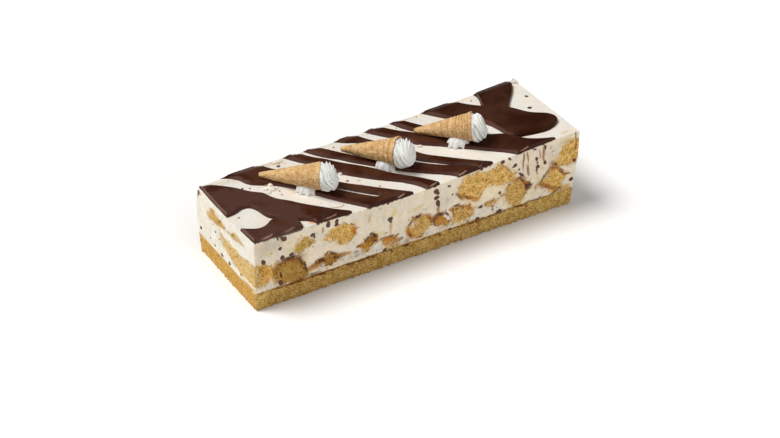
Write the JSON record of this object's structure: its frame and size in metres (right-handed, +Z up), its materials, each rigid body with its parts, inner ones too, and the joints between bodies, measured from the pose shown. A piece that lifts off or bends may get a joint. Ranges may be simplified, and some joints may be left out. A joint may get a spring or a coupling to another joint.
{
  "type": "ice cream cake",
  "caption": "Long bar of vanilla ice cream cake on a sponge base, with sponge pieces set in it, poured chocolate bands and small wafer cones of piped cream lying on top.",
  "frame": {"origin": "on the underside of the sponge base, under the middle of the whole cake", "axes": "+X along the bar, +Y towards its back long face, +Z up"},
  "size_m": [0.3048, 0.0968, 0.0961],
  "materials": {
    "sponge": "open dry crumb, golden tan with fine darker pores; fabric stands in for a matt porous food",
    "ice_cream": "cut vanilla ice cream, matt off-white with faint smears; matte plastic stands in for it",
    "chocolate": "set poured chocolate, dark brown with a soft gloss; gloss plastic stands in for it",
    "wafer": "baked wafer, tan with darker specks and fine rings; matte plastic stands in for it",
    "piped_cream": "whipped cream, pure white and softly matt; matte plastic stands in for it"
  },
  "bodies": {
    "root": {"sponge_base": "sponge", "ice_cream": "ice_cream", "chocolate_fourth": "chocolate", "chocolate_left": "chocolate", "chocolate_right": "chocolate", "chocolate_second": "chocolate", "chocolate_third": "chocolate", "cone_cream_one": "piped_cream", "cone_cream_three": "piped_cream", "cone_cream_two": "piped_cream", "cone_one": "wafer", "cone_three": "wafer", "cone_two": "wafer", "dollop_one": "piped_cream", "dollop_three": "piped_cream", "dollop_two": "piped_cream", "sponge_piece_arched": "sponge", "sponge_piece_crusted_left": "sponge", "sponge_piece_kite": "sponge", "sponge_piece_large_upper": "sponge", "sponge_piece_left_corner": "sponge", "sponge_piece_left_end_lens": "sponge", "sponge_piece_left_end_streak": "sponge", "sponge_piece_low_flat": "sponge", "sponge_piece_low_peak": "sponge", "sponge_piece_lower_left": "sponge", "sponge_piece_lower_right": "sponge", "sponge_piece_middle": "sponge", "sponge_piece_right_corner": "sponge", "sponge_piece_right_end_lens": "sponge", "sponge_piece_right_end_low": "sponge", "sponge_piece_slanting": "sponge", "sponge_piece_small": "sponge", "sponge_piece_streak": "sponge", "sponge_piece_upper_left": "sponge", "sponge_piece_upright": "sponge"}
  },
  "joints": []
}
